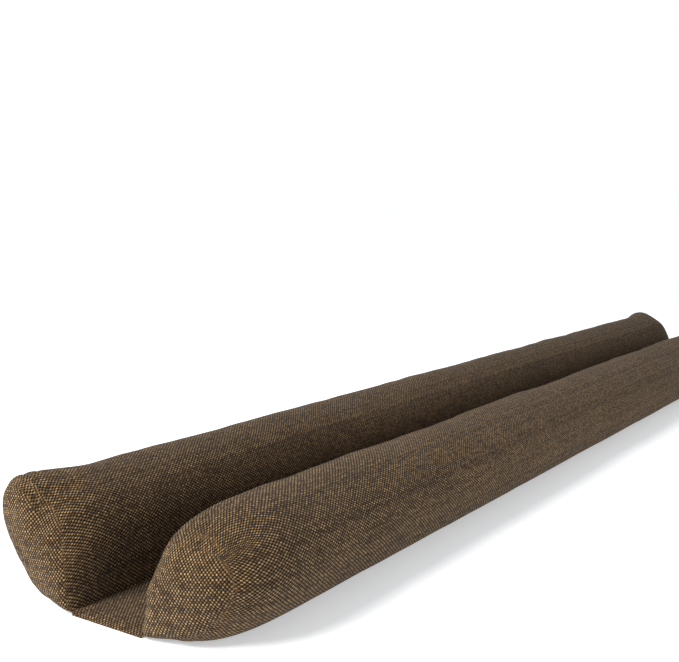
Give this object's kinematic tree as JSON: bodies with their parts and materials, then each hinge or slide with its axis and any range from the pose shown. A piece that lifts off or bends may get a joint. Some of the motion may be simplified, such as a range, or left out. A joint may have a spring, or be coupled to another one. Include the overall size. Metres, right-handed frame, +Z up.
{
  "type": "double-sided under-door draught excluder",
  "caption": "Soft draught excluder: filled cloth tubes lie along both faces of a door, joined by a flat web that passes under it.",
  "frame": {"origin": "centre of the object's footprint, on the floor, under the middle of the web", "axes": "+Z up, +X along the tubes and the foot of the door, -Y towards the tube in front of the door"},
  "size_m": [0.9112, 0.15, 0.0549],
  "materials": {
    "cover_cloth": "coarse matt plain weave, flecked brown"
  },
  "bodies": {
    "root": {"twin_tube_cover": "cover_cloth"}
  },
  "joints": []
}
